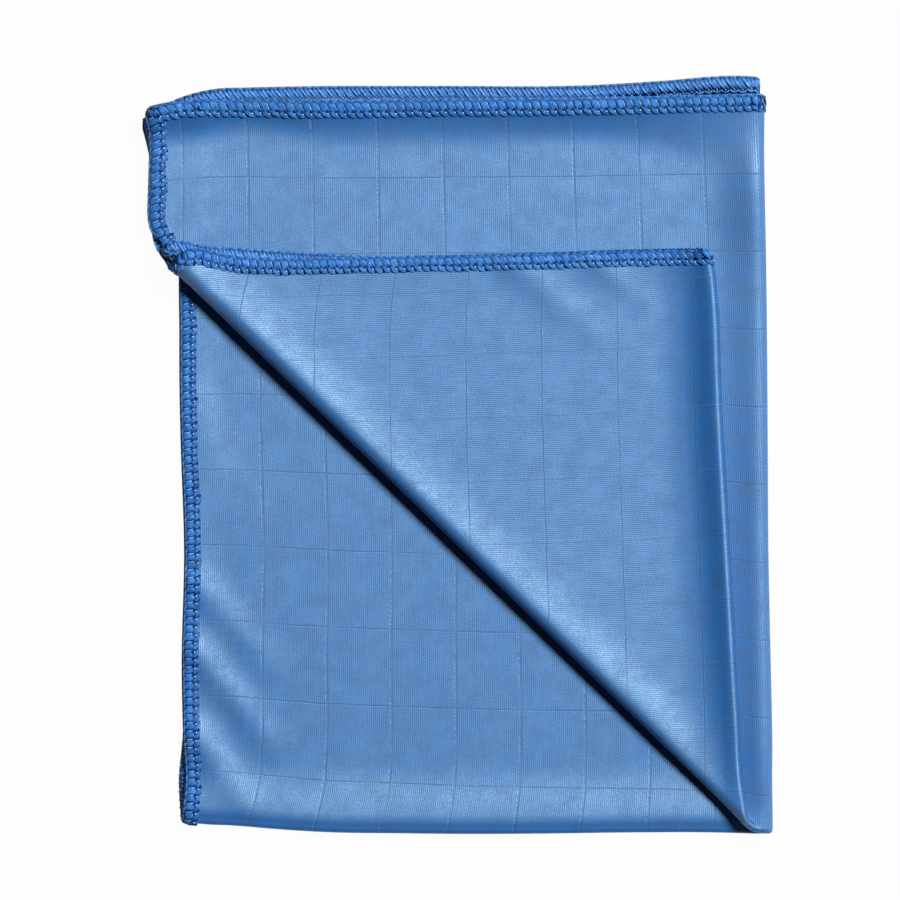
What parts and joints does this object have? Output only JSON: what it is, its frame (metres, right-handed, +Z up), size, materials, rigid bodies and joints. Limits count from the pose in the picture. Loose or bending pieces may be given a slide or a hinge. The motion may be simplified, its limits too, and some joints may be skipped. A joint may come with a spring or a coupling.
{
  "type": "folded cleaning cloth",
  "caption": "Flat-woven microfibre cleaning cloth with overlocked hems, folded into quarters, its upper corner turned back along a diagonal.",
  "frame": {"origin": "centre of the folded cloth's outline, on the surface it rests on", "axes": "+Z up, +X towards the crease of the second fold, +Y towards the open end with the hems of all the layers"},
  "size_m": [0.208, 0.2528, 0.0147],
  "materials": {
    "microfibre": "matte fine-ribbed weave"
  },
  "bodies": {
    "root": {"cloth": "microfibre"}
  },
  "joints": []
}
